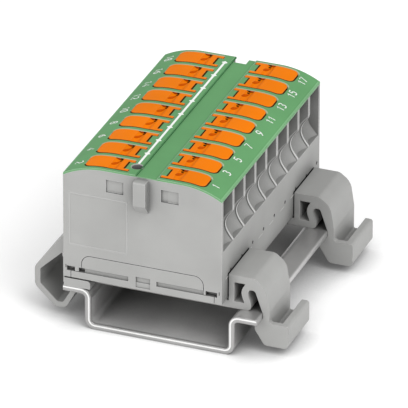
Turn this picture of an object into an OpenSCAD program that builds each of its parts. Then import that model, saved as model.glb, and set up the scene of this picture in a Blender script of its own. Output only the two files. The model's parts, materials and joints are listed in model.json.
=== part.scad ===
// Push-in power distribution block on two clip feet, standing on a short
// length of top-hat rail. Eighteen positions in two rows of nine.
// Origin: centre of the rail's underside. +X points to the latches,
// the face with the label panel looks towards -Y, +Z is up. Millimetres.

/* [Rail] */
// overall width of the top-hat rail
rail_w = 35; // [35:1:35]
// outer width of the rail's channel
rail_channel_w = 27; // [27:0.5:27]
// height of the rail
rail_h = 7.5; // [7.5:0.5:15]
// sheet thickness of the rail
rail_t = 1; // [0.8:0.1:1.5]
// inside radius of the rail's bends
rail_bend_r = 0.8; // [0.5:0.1:1.2]

/* [Positions] */
// number of positions in each row
rows = 9; // [2:1:12]
// distance between neighbouring positions
pitch = 5.2; // [5:0.1:6.5]
// extra length at each end of the row of positions
end_extra = 0.2; // [0.1:0.1:2]

/* [Housing] */
// width of the block across the two rows
block_w = 28.6; // [26:0.2:32]
// height of the block's underside above the rail's flange
block_lift = 1.8; // [1.4:0.1:4]
// height of the grey housing's crown above its underside
housing_h = 21.3; // [19:0.1:28]
// distance from the block's side to the flat middle of the crown
crown_side = 7.3; // [6:0.1:8]
// radius of the crown's two shoulders
crown_r = 14.1; // [12:0.1:16]
// thickness of the housing's end walls at the chambers
end_wall = 0.7; // [0.6:0.1:1.5]

/* [Conductor entries] */
// radius of a conductor hole
entry_r = 1.6; // [1.4:0.1:2]
// height of the conductor holes above the housing's underside
entry_z = 12.65; // [11:0.1:15]
// radius of the funnel's mouth at the side of the block
funnel_r = 3.78; // [3:0.1:4.2]
// depth of the funnel
funnel_depth = 2.6; // [1.5:0.05:2.8]
// height of the plain lower part of the side wall
side_plain_h = 9.7; // [8:0.1:11]
// depth of the upright slots above the funnels
slot_depth = 1.75; // [1:0.05:2.5]
// thickness of the ribs between the slots
rib_t = 0.9; // [0.6:0.1:1.4]
// radius of the small dimples low on the side walls
dimple_r = 0.35; // [0.2:0.05:0.5]
// height of the dimples above the housing's underside
dimple_z = 4.6; // [3:0.1:7]
// how far each dimple lies behind the middle of its position
dimple_off = 1.5; // [0:0.1:2]

/* [Chambers] */
// thickness from the block's side to a chamber's outer wall
chamber_side = 4.1; // [3.8:0.1:4.6]
// length of a chamber across the block
chamber_len = 7.2; // [6.8:0.1:7.6]
// width of a chamber along the row
chamber_w = 4.2; // [4:0.1:5]
// height of the chamber floor above the housing's underside
chamber_floor = 8; // [7.6:0.1:8.6]
// half width of the hollow between the two rows of chambers
core_half = 1.8; // [1:0.1:2.2]
// height of that hollow above the housing's underside
core_top = 12.5; // [8:0.5:12.5]
// radius of the post under the cover's round hole
post_r = 1.5; // [1.2:0.1:1.8]
// distance of the post's top below the crown
post_drop = 2.8; // [2.8:0.1:4]

/* [Cover] */
// thickness of the cover's crowned skin
skin_t = 0.35; // [0.3:0.05:1]
// thickness of the cover's plug below the crown
plug_t = 1.6; // [1.4:0.1:2.4]
// distance from the block's side to the cover's plug
plug_side = 2.5; // [2.2:0.1:3]
// gap between the plug and the housing
plug_gap = 0.1; // [0.05:0.05:0.3]
// distance of the groove's left edge from the block's middle
groove_left = 1.1; // [0.8:0.05:1.2]
// distance of the groove's right edge from the block's middle
groove_right = 2.6; // [1.5:0.05:2.7]
// depth of the groove along the cover's middle
groove_d = 0.22; // [0.1:0.02:0.24]
// radius of the round hole near the front of the cover
pin_hole_r = 1.05; // [0.6:0.05:1.5]
// how far the round hole reaches over the groove's left edge
pin_hole_over = 0.1; // [0.05:0.05:0.4]
// distance of the round hole from the front face
pin_hole_y = 3; // [1:0.1:6]

/* [Buttons] */
// distance from the block's side to a button's cap
cap_side = 3.5; // [3.2:0.1:4]
// length of a button's cap across the block
cap_len = 6.8; // [6:0.1:7.4]
// width of a button's cap along the row
cap_w = 3.9; // [3:0.1:4.2]
// radius of the rounded outer corners of a cap
cap_r = 1; // [0.5:0.1:1.9]
// thickness of the cap below the crown
cap_t = 1.3; // [1:0.1:2]
// how far the two slim tails reach inwards past the cap
tail_len = 1.05; // [0.4:0.05:1.2]
// width of each slim tail
tail_w = 0.6; // [0.4:0.1:1]
// gap around the button in its opening
button_gap = 0.12; // [0.08:0.01:0.3]
// how far the button goes down when it is pressed
button_travel = 1.5; // [1:0.1:2]
// distance of the driver groove from the cap's inner end
driver_in = 1.8; // [1.5:0.1:4]
// radius of the driver groove across the cap
driver_r = 1; // [0.5:0.1:2]
// depth of the driver groove
driver_d = 0.4; // [0.2:0.05:0.8]
// how far the caps stand above the cover
cap_proud = 0.08; // [0:0.02:0.3]
// width of each prong under the cap, along the row
prong_w = 0.55; // [0.4:0.05:0.8]
// inner side of the prongs, from the middle of the position
prong_in = 1.25; // [1.1:0.05:1.4]
// length of each prong across the block
prong_l = 2; // [1.5:0.1:2.4]
// distance of the prongs' middle from the cap's inner end
prong_mid = 2.4; // [2.1:0.1:2.7]

/* [Contacts] */
// thickness of the busbar
bar_t = 1; // [0.8:0.1:1.5]
// distance from a chamber's outer wall to the busbar
bar_side = 1.2; // [0.6:0.1:1.6]
// height of the busbar's underside above the housing's underside
bar_z = 14; // [13.8:0.1:15]
// length of each busbar window across the block
window_l = 2.6; // [2.4:0.1:3]
// width of each busbar window along the row
window_w = 4; // [3.6:0.1:4.2]
// thickness of the spring strip
spring_t = 0.4; // [0.3:0.05:0.5]
// width of the spring strip
spring_w = 3.6; // [3:0.1:3.9]
// radius of the spring's outer bend
spring_r = 1.2; // [0.8:0.1:1.4]
// small gap between the spring and what it lies against
spring_gap = 0.05; // [0.02:0.01:0.1]
// length of the busbar's opening around the keyway wall
bar_relief = 2; // [1.5:0.1:3]

/* [Front face] */
// width of the key standing proud of the front face
key_w = 2.2; // [1.5:0.1:3]
// how far the key stands proud
key_d = 1.5; // [0.8:0.1:2]
// distance of the key's top below the crown
key_drop = 0.3; // [0.2:0.1:1.5]
// length of the key's plain part
key_len = 4.4; // [3:0.1:6]
// length of the slope below the key
key_slope = 1.9; // [1:0.1:3]
// gap around a key in its keyway
key_gap = 0.15; // [0.1:0.05:0.3]
// depth of the two square recesses
recess_d = 0.35; // [0.2:0.05:0.5]
// width of the two square recesses
recess_w = 3.15; // [2:0.05:4]
// height of the two square recesses
recess_h = 2.35; // [1.5:0.05:4]
// middle of the square recesses, from the block's middle
recess_x = 4.95; // [3:0.05:8]
// distance of the square recesses' top below the crown
recess_drop = 1.55; // [1.2:0.05:4]
// width of the label panel
label_w = 10.7; // [6:0.1:12]
// height of the label panel
label_h = 10.05; // [5:0.05:12]
// distance of the label panel from the block's left side
label_side = 0.95; // [0.4:0.05:4]
// lower edge of the label panel above the housing's underside
label_z = 6.25; // [5:0.05:10]
// width of the fine line around the label panel
line_w = 0.16; // [0.1:0.02:0.4]
// depth of the fine line around the label panel
line_d = 0.15; // [0.1:0.05:0.3]

/* [Base insert] */
// thickness of the base insert
base_t = 1.2; // [1:0.1:2]
// distance from the block's side to the base insert
base_side = 1.4; // [1:0.1:2]
// distance from the block's side to the insert's upright tongue
tongue_side = 3.35; // [2.4:0.05:5]
// height of the tongue above the housing's underside
tongue_top = 4.5; // [3:0.1:6]
// rounding of the tongue's upper corners
tongue_r = 1.6; // [0.5:0.1:2.5]
// gap around the base insert
base_gap = 0.12; // [0.05:0.01:0.2]

/* [Front grooves] */
// height of the row of grooves above the housing's underside
band_z = 1.2; // [1:0.1:2]
// height of the grooves
band_h = 0.9; // [0.5:0.1:1.5]
// depth of the shallow grooves
band_d = 0.3; // [0.2:0.05:0.4]
// depth of the deep slots at their ends
slot_d = 0.8; // [0.5:0.1:1.5]
// inner end of both shallow grooves, from the block's middle
band_in = 2.55; // [2:0.05:4]
// distance from the left side to the shallow groove
band_left_side = 3.8; // [3.4:0.1:6]
// distance from the left side to the groove's short deep slot
slot_left_side = 2.75; // [2.2:0.05:3]
// width of the bar between the two left slots
slot_bar = 0.65; // [0.4:0.05:1]
// distance from the left side to the long deep slot
slot_left_end = 0.6; // [0.6:0.1:1]
// distance from the right side to the shallow groove
band_right_side = 2.9; // [2.4:0.1:4]
// distance from the right side to the deep slot
slot_right_end = 0.8; // [0.6:0.1:1.2]
// width of the upright ticks beyond the slots
tick_w = 0.15; // [0.1:0.05:0.3]
// distance from the block's sides to the middle of the ticks
tick_side = 0.45; // [0.3:0.01:0.5]
// height of the upright ticks
tick_h = 0.7; // [0.3:0.1:1]
// width of the stepped recess in the middle
step_w = 2.6; // [1.5:0.1:4]
// middle of the stepped recess
step_x = 0.1; // [0:0.1:0.5]
// lower edge of the stepped recess above the housing's underside
step_z = 0.35; // [0.2:0.05:0.6]
// upper edge of the stepped recess above the housing's underside
step_top = 2.35; // [1.8:0.05:3]
// height of the step inside the recess
step_mid = 1.25; // [1:0.05:1.5]

/* [Feet] */
// width of each foot along the rail
foot_w = 10.1; // [8:0.1:12]
// distance from the block's end face to the foot
foot_inset = 2.8; // [1:0.1:6]
// thickness of the foot's base strip beyond the block
strip_t = 1.3; // [1:0.1:2]
// gap between the foot's walls and the block's sides
side_gap = 0.2; // [0.1:0.05:0.4]
// thickness of the foot's upright walls
wall_t = 1; // [0.8:0.05:1.5]
// height of the latch side of the foot above the flange
foot_top = 6.3; // [5.5:0.1:8]
// thickness of the slab over the pocket
slab_t = 1.35; // [1:0.05:1.6]
// rounding of the strip's free end
strip_r = 0.7; // [0.2:0.1:0.9]
// radius of the pegs that hold the foot to the base insert
peg_r = 1.6; // [1:0.1:2.5]
// gap around the pegs
peg_gap = 0.05; // [0.02:0.01:0.1]
// distance of the pegs from the block's sides
peg_side = 5.3; // [4.5:0.1:8]
// gap between the rail and what grips it
grip_gap = 0.06; // [0.02:0.01:0.2]

/* [Fixed hook] */
// thickness of the hook's upright outer band
hook_t = 1; // [0.8:0.05:1.3]
// how far the hook reaches past the rail's edge
hook_reach = 6.25; // [5.5:0.05:8]
// height of the hook's highest point above the flange
hook_top = 9.2; // [8:0.1:12]
// height of the hook's upper knee above the flange
hook_knee = 1.05; // [0:0.05:2]
// length of the hook's straight outer side
hook_side = 3.6; // [2.6:0.1:4]
// rounding of the two outer knees
hook_knee_r = 1.7; // [0.5:0.1:2]
// depth of the hook below the flange
hook_drop = 6; // [5.8:0.1:6.8]
// distance of the hook's lowest part from the rail's edge
hook_foot_x = 1.65; // [1.3:0.05:2]
// width of the hook's lowest part
hook_foot_w = 2; // [1.8:0.1:2.6]
// rounding of the hook's lowest part
hook_foot_r = 1.3; // [0.3:0.1:1.5]
// height of the opening in the loop above the flange, at the wall
hook_void_top = 4.7; // [4:0.1:5.5]
// rounding of the opening in the loop
hook_void_r = 0.6; // [0.2:0.1:0.9]
// how far the lip reaches under the flange
lip_in = 1.1; // [0.9:0.05:1.6]
// height of the lip's upright end
lip_h = 1.7; // [1:0.1:2]
// width of the lip's top face
lip_w = 0.95; // [0.8:0.05:1.2]

/* [Spring band] */
// distance from the pocket's wall to the spring band
pocket_w = 1.8; // [1.5:0.05:2.3]
// how far the spring band leans outwards at its top
band_lean = 0.2; // [0:0.05:0.4]
// how far the spring band bulges into the pocket
band_bulge = 0.6; // [0.3:0.05:0.8]
// where the bulge is greatest: 1 is half way up, more is higher
bulge_skew = 1.2; // [1:0.1:1.5]
// thickness of the spring band
flex_t = 1.2; // [0.8:0.05:1.4]
// height of the crown above the arch of the latch's slot
crown_t = 2.3; // [1.9:0.1:2.6]
// half width of the arch
arch_half = 0.6; // [0.4:0.05:0.7]

/* [Latch] */
// width of the crown from the middle of the arch to the leg's outer face
crown_w = 3.2; // [3:0.05:3.6]
// flat part of the crown's top, from the middle of the arch
crown_top_w = 0.45; // [0.4:0.05:0.8]
// rounding where the crown's top begins to fall
crown_top_r = 1.3; // [0.5:0.1:1.3]
// rounding of the crown's shoulder
shoulder_r = 3; // [2:0.1:3.2]
// distance of the shoulder's corner from the leg's outer face
shoulder_in = 0.7; // [0.4:0.05:1]
// distance of the shoulder's corner below the crown's top
shoulder_drop = 1.45; // [1.2:0.05:1.8]
// height of the leg's upright part above the toe
leg_h = 2.2; // [1.5:0.1:3]
// reach of the toe past the leg's outer face
toe_reach = 3.45; // [3.2:0.05:5]
// height of the toe
toe_h = 4.3; // [4:0.1:5.2]
// depth of the toe below the flange
toe_drop = 6.05; // [5.7:0.05:6.8]
// how far the nose reaches under the flange
nose_in = 1.35; // [0.6:0.05:1.5]
// fall of the nose's top face towards its tip
nose_fall = 0.35; // [0.3:0.05:0.8]
// height of the nose's upright tip
nose_h = 1.9; // [1:0.1:2.2]
// distance of the toe's inner lower corner from the rail's edge
toe_in = 0.4; // [0.3:0.05:1]
// rounding of the toe's lower corners
toe_r = 0.9; // [0.2:0.1:1]
// rounding of the toe's upper corner and of the bend between leg and toe
toe_top_r = 0.5; // [0.2:0.1:0.6]
// depth of the screwdriver pocket
driver_pocket_d = 2.3; // [1:0.1:2.8]
// width of the screwdriver pocket's floor
driver_floor_w = 0.9; // [0.8:0.1:1.2]
// rounding of the screwdriver pocket's floor
driver_floor_r = 0.3; // [0.1:0.05:0.35]
// thickness of the web that closes the screwdriver pocket in front
driver_web = 1; // [0.6:0.1:2]
// thickness of the latch's outer lip at its top
lip_t = 1.35; // [1:0.05:1.5]

/* [Hidden] */
$fn = 48;
eps = 0.01;

block_l = rows * pitch + 2 * end_extra;
front_y = -block_l / 2;
flange_top = rail_h;
flange_under = rail_h - rail_t;
block_z = flange_top + block_lift;
crown_z = block_z + housing_h;
side_x = block_w / 2;
crown_flat = side_x - crown_side;
chamber_out = side_x - chamber_side;
chamber_in = chamber_out - chamber_len;
cap_out = side_x - cap_side;
cap_in = cap_out - cap_len;
driver_x = cap_in + driver_in;
prong_x = cap_in + prong_mid;
bar_half = chamber_out - bar_side;
plug_half = side_x - plug_side;
plug_z = housing_h - plug_t;
pin_hole_x = pin_hole_over - groove_left - pin_hole_r;
key_top = housing_h - key_drop;
key_low = key_top - key_len;
recess_top = housing_h - recess_drop;
post_top = housing_h - post_drop;
label_x = label_side - side_x;
base_half = side_x - base_side;
tongue_half = side_x - tongue_side;
band_left = side_x - band_left_side;
slot_left = side_x - slot_left_side;
slot_left_out = side_x - slot_left_end;
band_right = side_x - band_right_side;
slot_right_out = side_x - slot_right_end;
tick_x = side_x - tick_side;
peg_x = side_x - peg_side;
slot_w = pitch - rib_t;
row_span = (rows - 1) * pitch;
cavity_half_y = row_span / 2 + chamber_w / 2;
entry_axis_z = block_z + entry_z;
plug_y = cavity_half_y - plug_gap;
edge_x = rail_w / 2;
foot_y0 = front_y + foot_inset;
foot_ends = [foot_y0, -foot_y0 - foot_w];
left_wall_x = -edge_x - grip_gap;
block_shift = left_wall_x + side_gap + side_x;
right_wall_x = block_shift + side_x + side_gap;
pocket_x = right_wall_x + wall_t;
flex_x = pocket_x + pocket_w;
slab_z = flange_top + foot_top;
strip_z = flange_top + strip_t;
arch_z = slab_z - crown_t;
slab_low = slab_z - slab_t;
band_rise = slab_low - strip_z;
// share of the spring band that stands free below the arch
band_free = (arch_z - arch_half - strip_z) / band_rise;
latch_x = band_x(band_free) + flex_t + arch_half;
leg_in_x = edge_x + grip_gap;
crown_out_x = latch_x + crown_w;
toe_x = crown_out_x + toe_reach;
toe_low = flange_top - toe_drop;
toe_top = toe_low + toe_h;
grip_z = flange_under - grip_gap;
cap_top = crown_z + skin_t;
cap_low = cap_top - cap_t;
pressed_z = cap_low - button_travel - 2 * button_gap;
insert_wall = end_wall - 2 * base_gap;
corner_steps = 8;

// the spring's rounded end and the tip of its leg, in the plane of the strip
bend = [chamber_out - spring_r - 3 * spring_gap, block_z + chamber_floor + spring_gap + spring_r];
leg_tip = [chamber_in + spring_r, block_z + bar_z - spring_gap];
leg_run = sqrt(pow(norm(bend - leg_tip), 2) - pow(spring_r, 2));
leg_angle = atan2(leg_tip.y - bend.y, bend.x - leg_tip.x) - asin(spring_r / norm(bend - leg_tip));
prong_low = leg_tip.y - (prong_x - prong_l / 2 - leg_tip.x) * tan(leg_angle) + spring_gap;

// the position of row number i along the block
function row_y(i) = (i - (rows + 1) / 2) * pitch;

// points of the corner at b, between a and c, rounded by the radius that is b's third value
function corner(a, b, c) =
    let (p = [b.x, b.y])
    let (u = ([a.x, a.y] - p) / norm([a.x, a.y] - p))
    let (v = ([c.x, c.y] - p) / norm([c.x, c.y] - p))
    let (half = acos(u * v) / 2)
    let (o = p + (u + v) / norm(u + v) * b.z / sin(half))
    let (s = p + u * b.z / tan(half) - o)
    let (turn = (180 - 2 * half) * sign(v.x * u.y - v.y * u.x))
    [for (k = [0 : corner_steps])
        let (t = turn * k / corner_steps)
        o + [s.x * cos(t) - s.y * sin(t), s.x * sin(t) + s.y * cos(t)]];

// an outline whose corners [x, z, radius] are rounded, or sharp where the radius is 0
function rounded(c) = [for (i = [0 : len(c) - 1])
    each (c[i].z > 0 ? corner(c[(i + len(c) - 1) % len(c)], c[i], c[(i + 1) % len(c)])
        : [[c[i].x, c[i].y]])];

// Shared shapes

// outline of the block's crowned cross-section, grown upwards by "up"
module crown_outline(up) {
    r = crown_r + up;
    intersection() {
        union() {
            translate([-crown_flat, block_z])
                square([2 * crown_flat, housing_h + up]);
            for (s = [-1, 1])
                translate([s * crown_flat, crown_z - crown_r])
                    circle(r);
            translate([-side_x, block_z])
                square([block_w, housing_h - crown_r]);
        }
        translate([-side_x, block_z])
            square([block_w, housing_h + up]);
    }
}

// a cross-section drawn in X and Z, given a length along Y
module along_y(y0, len) {
    translate([0, y0 + len, 0])
        rotate([90, 0, 0])
            linear_extrude(len)
                children();
}

// a box from low corner to size, measured from the block's middle
module block_box(x0, y0, z0, w, l, h) {
    translate([x0, y0, z0])
        cube([w, l, h]);
}

// moves what follows to the middle of the block
module on_block() {
    translate([block_shift, 0, 0])
        children();
}

// plan outline of a button or of its opening, grown by "gap"
module button_plan(gap) {
    half = cap_w / 2 + gap;
    r = cap_r + gap;
    translate([cap_in - gap, -half])
        square([cap_len + gap - cap_r, 2 * half]);
    translate([cap_out - cap_r - eps, -half + r])
        square([cap_r + gap + eps, 2 * half - 2 * r]);
    for (s = [-1, 1])
        translate([cap_out - cap_r, s * (half - r)])
            circle(r);
    for (s = [-1, 1])
        translate([cap_in - tail_len - gap, s * (half - tail_w / 2 - gap) - tail_w / 2 - gap])
            square([tail_len + 2 * gap, tail_w + 2 * gap]);
}

// Housing

// one conductor hole with the upright slot above its funnel
module entry_cut() {
    translate([chamber_out - eps, 0, entry_axis_z])
        rotate([0, 90, 0])
            cylinder(r = entry_r, h = side_x - chamber_out + 2 * eps);
    block_box(side_x - slot_depth, -slot_w / 2, entry_axis_z, slot_depth + eps, slot_w, housing_h);
}

// the row of funnels on the right, cut off at the end walls and at the plain lower wall
module funnel_cuts() {
    out = side_x + eps;
    neck = side_x - funnel_depth;
    slope = (funnel_r - entry_r) / funnel_depth;
    half_y = (row_span + slot_w) / 2;
    intersection() {
        for (i = [1 : rows])
            translate([neck, row_y(i), entry_axis_z])
                rotate([0, 90, 0])
                    cylinder(r1 = entry_r, r2 = entry_r + slope * (out - neck), h = out - neck);
        block_box(neck - 1, -half_y, block_z + side_plain_h, funnel_depth + 2, 2 * half_y, housing_h);
    }
}

// the chamber behind a conductor hole
module chamber_cut() {
    block_box(chamber_in, -chamber_w / 2, block_z + chamber_floor,
        chamber_out - chamber_in, chamber_w, bar_z);
}

// the small round dimple low on the side wall
module dimple_cut() {
    translate([side_x - dimple_r, dimple_off, block_z + dimple_z])
        rotate([0, 90, 0])
            cylinder(r = dimple_r, h = dimple_r + eps, $fn = 24);
}

// outline of the base insert's tongue, grown by "gap"
module tongue_outline(gap) {
    half = tongue_half + gap;
    r = tongue_r + gap;
    top = block_z + tongue_top + gap;
    translate([-half, block_z])
        square([2 * half, tongue_top + gap - r]);
    translate([-half + r, block_z])
        square([2 * half - 2 * r, tongue_top + gap]);
    for (s = [-1, 1])
        translate([s * (half - r), top - r])
            circle(r);
}

// the four fine lines around the label panel
module label_lines() {
    y = front_y - eps;
    d = line_d + eps;
    z = block_z + label_z;
    block_box(label_x, y, z, label_w, d, line_w);
    block_box(label_x, y, z + label_h - line_w, label_w, d, line_w);
    block_box(label_x, y, z, line_w, d, label_h);
    block_box(label_x + label_w - line_w, y, z, line_w, d, label_h);
}

// the proud key on the front face, with its sloped lower end
module front_key() {
    z0 = block_z + key_low;
    z1 = block_z + key_top;
    translate([-key_w / 2, 0, 0])
        rotate([90, 0, 90])
            linear_extrude(key_w)
                polygon([
                    [front_y + eps, z0 - key_slope],
                    [front_y - key_d, z0],
                    [front_y - key_d, z1 - line_w],
                    [front_y - key_d + line_w, z1],
                    [front_y + eps, z1]
                ]);
}

// the keyway in the back face that takes another block's key
module keyway_cut(z0) {
    half = key_w / 2 + key_gap;
    depth = key_d + key_gap;
    block_box(-half, -front_y - depth, z0, 2 * half, depth + eps, housing_h);
}

module housing() {
    color([0.69, 0.69, 0.68])
    on_block() {
        difference() {
            along_y(front_y, block_l)
                crown_outline(0);
            // conductor entries and dimples on both sides
            for (i = [1 : rows]) {
                translate([0, row_y(i), 0]) {
                    entry_cut();
                    chamber_cut();
                    dimple_cut();
                    mirror([1, 0, 0]) {
                        entry_cut();
                        chamber_cut();
                    }
                }
            }
            funnel_cuts();
            mirror([1, 0, 0])
                funnel_cuts();
            // open space above the chambers for the busbar and the prongs
            block_box(-chamber_out, -cavity_half_y, block_z + bar_z,
                2 * chamber_out, 2 * cavity_half_y, housing_h);
            // wider space for the caps in their lowest place
            block_box(-cap_out - 2 * button_gap, -cavity_half_y, pressed_z,
                2 * (cap_out + 2 * button_gap), 2 * cavity_half_y, housing_h);
            // seat of the cover's plug
            block_box(-plug_half - plug_gap, -cavity_half_y, block_z + plug_z,
                2 * (plug_half + plug_gap), 2 * cavity_half_y, housing_h);
            // hollow between the rows, open below
            block_box(-core_half, -cavity_half_y, block_z - eps,
                2 * core_half, 2 * cavity_half_y, core_top + eps);
            // seat of the base insert and of its tongues
            block_box(-base_half - base_gap, front_y - eps, block_z - eps,
                2 * (base_half + base_gap), block_l + 2 * eps, base_t + base_gap + eps);
            along_y(front_y - eps, end_wall - base_gap)
                tongue_outline(base_gap);
            along_y(-front_y - end_wall + base_gap + eps, end_wall - base_gap)
                tongue_outline(base_gap);
            // front face
            label_lines();
            for (s = [-1, 1])
                block_box(s * recess_x - recess_w / 2, front_y - eps,
                    block_z + recess_top - recess_h, recess_w, recess_d + eps, recess_h);
            deep_slots();
            keyway_cut(keyway_z());
        }
        front_key();
        keyway_boss();
        post();
    }
}

// height at which the keyway starts
function keyway_z() = block_z + key_low - key_slope - key_gap;

// the wall inside the housing that carries the keyway
module keyway_boss() {
    half = key_w / 2 + key_gap + end_wall;
    depth = key_d + key_gap + end_wall;
    z0 = keyway_z() - end_wall;
    difference() {
        block_box(-half, -front_y - depth, z0, 2 * half, depth - end_wall / 2, block_z + plug_z - z0 - plug_gap);
        keyway_cut(keyway_z());
    }
}

// the post on the front end wall, under the round hole of the cover
module post() {
    z0 = block_z + bar_z + bar_t + plug_gap;
    h = block_z + post_top - z0;
    y = front_y + pin_hole_y;
    translate([pin_hole_x, y, z0])
        cylinder(r = post_r, h = h);
    block_box(pin_hole_x - pin_hole_r, -cavity_half_y - eps, z0, 2 * pin_hole_r,
        y + cavity_half_y, h);
}

// a cut in the front face from x0 to x1, at height z above the underside
module front_cut(x0, x1, z, h, d) {
    block_box(x0, front_y - eps, block_z + z, x1 - x0, d + eps, h);
}

// the deep slots and fine ticks at the two ends of the shallow grooves
module deep_slots() {
    front_cut(-slot_left, -band_left, band_z, band_h, slot_d);
    front_cut(-slot_left_out, -slot_left - slot_bar, band_z, band_h, slot_d);
    front_cut(band_right, slot_right_out, band_z, band_h, slot_d);
    for (s = [-1, 1])
        front_cut(s * tick_x - tick_w / 2, s * tick_x + tick_w / 2, band_z + band_h / 2, tick_h, band_d);
}

// Base insert

module base_insert() {
    color([0.70, 0.70, 0.69])
    on_block()
    difference() {
        union() {
            block_box(-base_half, front_y, block_z, 2 * base_half, block_l, base_t);
            for (y = [front_y, -front_y - insert_wall])
                along_y(y, insert_wall)
                    tongue_outline(0);
        }
        // shallow grooves in the front, left and right of the middle
        front_cut(-band_left, -band_in, band_z, band_h, band_d);
        front_cut(band_in, band_right, band_z, band_h, band_d);
        deep_slots();
        // square recess with a step in the middle
        front_cut(step_x - step_w / 2, step_x + step_w / 2, step_z, step_top - step_z, band_d / 2);
        front_cut(step_x - step_w / 2, step_x + step_w / 2, step_mid, step_top - step_mid, band_d);
        // holes for the pegs of the feet
        for (y = foot_ends, s = [-1, 1])
            translate([s * peg_x, y + foot_w / 2, block_z - eps])
                cylinder(r = peg_r + peg_gap, h = base_t + 2 * eps);
    }
}

// Cover

module cover() {
    color([0.36, 0.66, 0.40])
    on_block()
    difference() {
        union() {
            difference() {
                along_y(front_y, block_l)
                    crown_outline(skin_t);
                along_y(front_y - eps, block_l + 2 * eps)
                    crown_outline(0);
                // the crowned outline is open below, so the lower part is cut off
                block_box(-side_x - 1, front_y - 1, 0, block_w + 2, block_l + 2, crown_z - crown_r / 2);
            }
            intersection() {
                along_y(-plug_y, 2 * plug_y)
                    crown_outline(skin_t / 2);
                block_box(-plug_half, -plug_y, block_z + plug_z,
                    2 * plug_half, 2 * plug_y, housing_h);
            }
        }
        for (i = [1 : rows], s = [0, 1])
            mirror([s, 0, 0])
                translate([0, row_y(i), block_z])
                    linear_extrude(housing_h + 2)
                        button_plan(button_gap);
        // shallow groove along the middle
        block_box(-groove_left, front_y - 1, crown_z + skin_t - groove_d,
            groove_left + groove_right, block_l + 2, groove_d + 1);
        // round hole at the front end of the line of marks
        translate([pin_hole_x, front_y + pin_hole_y, block_z])
            cylinder(r = pin_hole_r, h = housing_h + 2);
        keyway_cut(keyway_z());
    }
}

// Buttons

// one button on the right-hand side, at the middle of its position
module button() {
    difference() {
        intersection() {
            translate([0, 0, cap_low])
                linear_extrude(cap_t + 1)
                    button_plan(0);
            along_y(-pitch, 2 * pitch)
                crown_outline(skin_t + cap_proud);
        }
        // groove across the cap for the driver's tip
        translate([driver_x, pitch / 2, cap_top + cap_proud + driver_r - driver_d])
            rotate([90, 0, 0])
                cylinder(r = driver_r, h = pitch);
    }
    for (s = [-1, 1])
        block_box(prong_x - prong_l / 2, s * (prong_in + prong_w / 2) - prong_w / 2,
            prong_low, prong_l, prong_w, cap_low - prong_low + eps);
}

// one button of the block, side is 1 on the right and -1 on the left
module button_at(i, side) {
    color([0.94, 0.48, 0.02])
    on_block()
    translate([0, row_y(i), 0])
        mirror([side < 0 ? 1 : 0, 0, 0])
            button();
}

// Contacts

module busbar() {
    z = block_z + bar_z;
    half_y = row_span / 2 + window_w / 2 - 2 * spring_gap;
    relief = key_w / 2 + key_gap + end_wall + plug_gap;
    color([0.80, 0.50, 0.32])
    on_block()
    difference() {
        block_box(-bar_half, -half_y, z, 2 * bar_half, 2 * half_y, bar_t);
        for (i = [1 : rows], s = [-1, 1])
            block_box(s * prong_x - window_l / 2, row_y(i) - window_w / 2, z - eps,
                window_l, window_w, bar_t + 2 * eps);
        // clear of the wall that carries the keyway
        block_box(-relief, half_y - bar_relief, z - eps, 2 * relief, bar_relief + eps, bar_t + 2 * eps);
    }
}

// one spring clamp on the right-hand side: floor strip, rounded end, rising leg
module clamp() {
    r = spring_r;
    far = 3 * spring_r;
    along_y(-spring_w / 2, spring_w) {
        // strip on the chamber floor
        translate([leg_tip.x, bend.y - r])
            square([bend.x - leg_tip.x + eps, spring_t]);
        // rounded end
        translate(bend)
            intersection() {
                difference() {
                    circle(r);
                    circle(r - spring_t);
                }
                polygon([[0, 0], [0, -far], [far, -far], [far, far], [far * sin(leg_angle), far * cos(leg_angle)]]);
            }
        // rising leg, whose tip lies under the busbar
        translate(bend)
            rotate(-leg_angle)
                translate([-leg_run, r - spring_t])
                    square([leg_run + eps, spring_t]);
    }
}

// one spring clamp of the block, side is 1 on the right and -1 on the left
module clamp_at(i, side) {
    color([0.75, 0.76, 0.78])
    on_block()
    translate([0, row_y(i), 0])
        mirror([side < 0 ? 1 : 0, 0, 0])
            clamp();
}

// Feet

// outer outline of the loop-shaped hook that grips the left edge of the rail
module hook_outline() {
    reach = edge_x + hook_reach;
    knee = flange_top + hook_knee;
    low = flange_top - hook_drop;
    foot_in = edge_x + hook_foot_x - hook_foot_w / 2;
    lip_x = lip_in - edge_x;
    polygon(rounded([
        [left_wall_x, flange_top + hook_top, 0],
        [-reach, knee, hook_knee_r],
        [-reach, knee - hook_side, hook_knee_r],
        [-foot_in - hook_foot_w, low, hook_foot_r],
        [-foot_in, low, hook_foot_r],
        [lip_x, grip_z - lip_h, 0],
        [lip_x, grip_z, 0],
        [left_wall_x, grip_z, 0]
    ]));
}

// outline of the opening in the hook's loop
module hook_void() {
    wall_x = left_wall_x - wall_t;
    reach = edge_x + hook_reach - hook_t;
    knee = flange_top + hook_knee;
    low = flange_top - hook_drop + hook_t;
    foot_in = edge_x + hook_foot_x - hook_foot_w / 2;
    polygon(rounded([
        [wall_x, flange_top + hook_void_top, 0],
        [-reach, knee - hook_t / 3, hook_void_r],
        [-reach, knee - hook_side + hook_t / 2, hook_void_r],
        [-foot_in - hook_foot_w + hook_t / 2, low, hook_void_r],
        [-foot_in - hook_t / 2, low, hook_void_r],
        [lip_in - edge_x - lip_w, grip_z - lip_h, 0],
        [lip_in - edge_x - lip_w, grip_z, 0],
        [wall_x, grip_z, 0]
    ]));
}

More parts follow.
